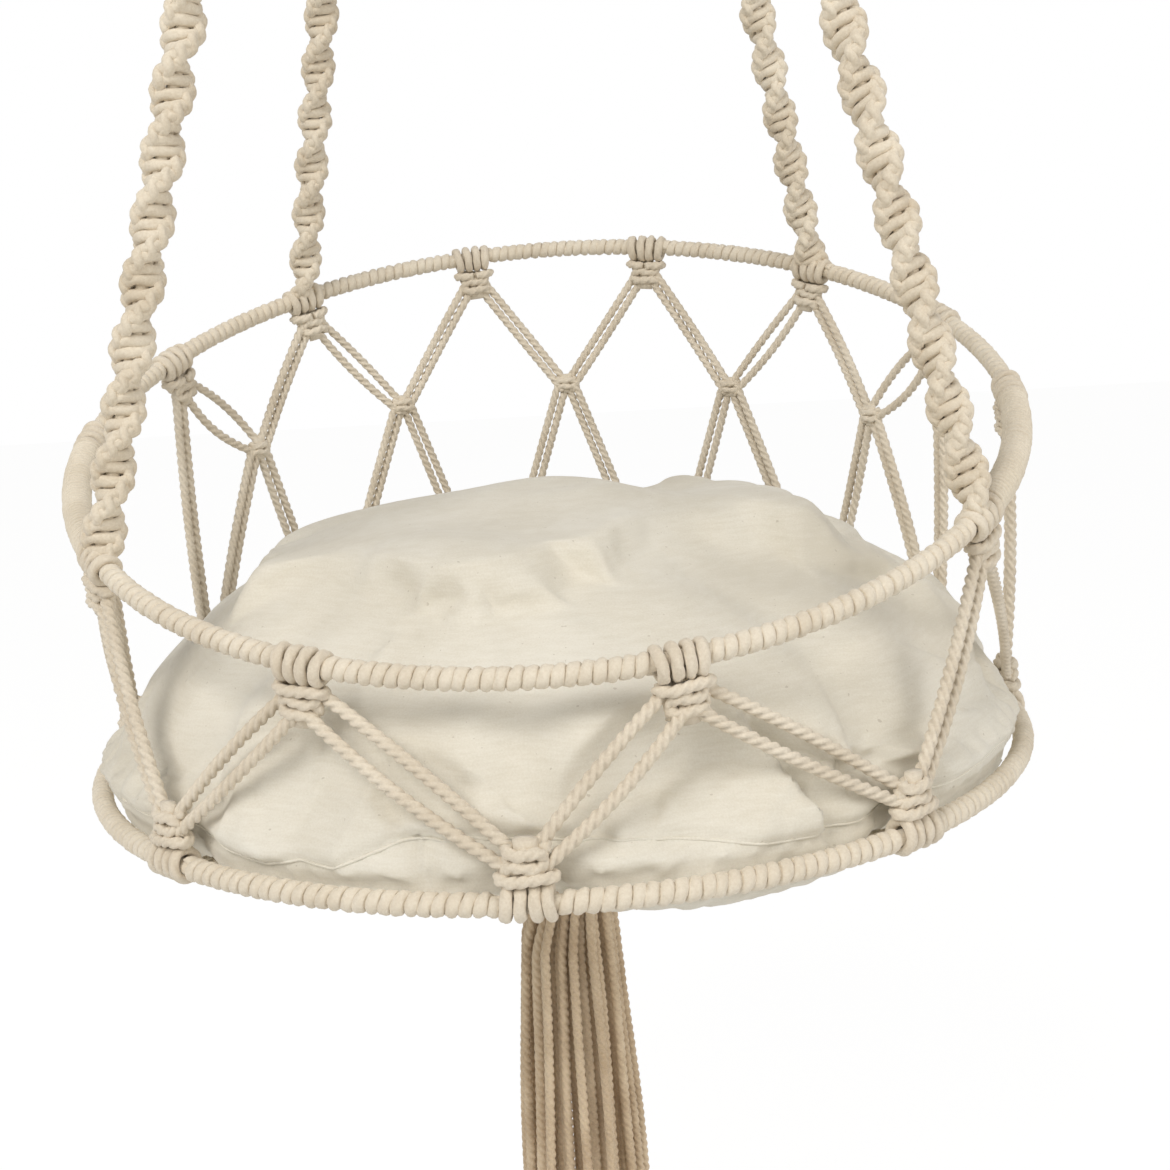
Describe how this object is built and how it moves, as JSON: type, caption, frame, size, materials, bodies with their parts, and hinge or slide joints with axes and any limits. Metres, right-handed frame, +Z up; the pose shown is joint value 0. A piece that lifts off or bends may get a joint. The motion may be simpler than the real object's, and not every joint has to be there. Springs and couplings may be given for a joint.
{
  "type": "cat hammock",
  "caption": "Hanging macrame cat hammock: cord-wrapped hoops joined by a knotted net, low at the front, with twisted straps to a steel ring, a canvas cushion and a tassel below.",
  "frame": {"origin": "middle of the hanging ring's eye", "axes": "+Z up, the low front of the basket faces -Y, +X to the viewer's right"},
  "size_m": [0.414, 0.4112, 1.2491],
  "materials": {
    "ring_steel": "smooth bright steel",
    "hoop_steel": "plain steel wire under the wrapping",
    "cotton_cord": "natural three-ply cotton cord, matt",
    "strap_cord": "natural cotton cord in half knots, matt",
    "wrap_cord": "natural cotton cord wound tight, matt",
    "binding_thread": "fine cotton binding, matt",
    "tassel_cord": "tan cotton cord, matt",
    "canvas": "unbleached cotton canvas, soft and creased",
    "fibre_fill": "loose white fibre"
  },
  "bodies": {
    "ring": {"hanging_ring": "ring_steel"},
    "hammock": {"hanger_loops": "cotton_cord", "hanger_cords": "cotton_cord", "gathering_wrap": "cotton_cord", "strap_front_right": "strap_cord", "strap_front_left": "strap_cord", "strap_back_right": "strap_cord", "strap_back_left": "strap_cord", "upper_hoop": "hoop_steel", "rim_wrap_front": "wrap_cord", "rim_wrap_right": "wrap_cord", "rim_wrap_left": "wrap_cord", "rim_wrap_back": "wrap_cord", "rim_binding_right": "binding_thread", "rim_binding_left": "binding_thread", "lower_hoop": "hoop_steel", "base_wrap_front": "wrap_cord", "base_wrap_right": "wrap_cord", "base_wrap_left": "wrap_cord", "base_wrap_back": "wrap_cord", "front_rim_knots": "cotton_cord", "side_rim_knots": "cotton_cord", "back_rim_knots": "cotton_cord", "front_strap_knots": "cotton_cord", "back_strap_knots": "cotton_cord", "back_mid_knots": "cotton_cord", "front_base_knots": "cotton_cord", "side_base_knots": "cotton_cord", "back_base_knots": "cotton_cord", "front_net": "cotton_cord", "right_net": "cotton_cord", "left_net": "cotton_cord", "back_net_upper": "cotton_cord", "back_net_lower": "cotton_cord", "base_net": "cotton_cord", "base_gather_knot": "cotton_cord"},
    "cushion": {"cushion_top_panel": "canvas", "cushion_bottom_panel": "canvas", "cushion_filling": "fibre_fill"},
    "tassel": {"tassel": "tassel_cord"}
  },
  "joints": [
    {"name": "swing", "type": "hinge", "parent": "ring", "child": "hammock", "pos_m": [0, 0, -0.032], "axis": [1, 0, 0], "range_deg": [-15, 15]},
    {"name": "cushion_lift", "type": "slide", "parent": "hammock", "child": "cushion", "axis": [0, 0, 1], "range_m": [0, 0.01]},
    {"name": "tassel_swing", "type": "hinge", "parent": "hammock", "child": "tassel", "pos_m": [0, 0, -0.952], "axis": [1, 0, 0], "range_deg": [-25, 25]}
  ]
}
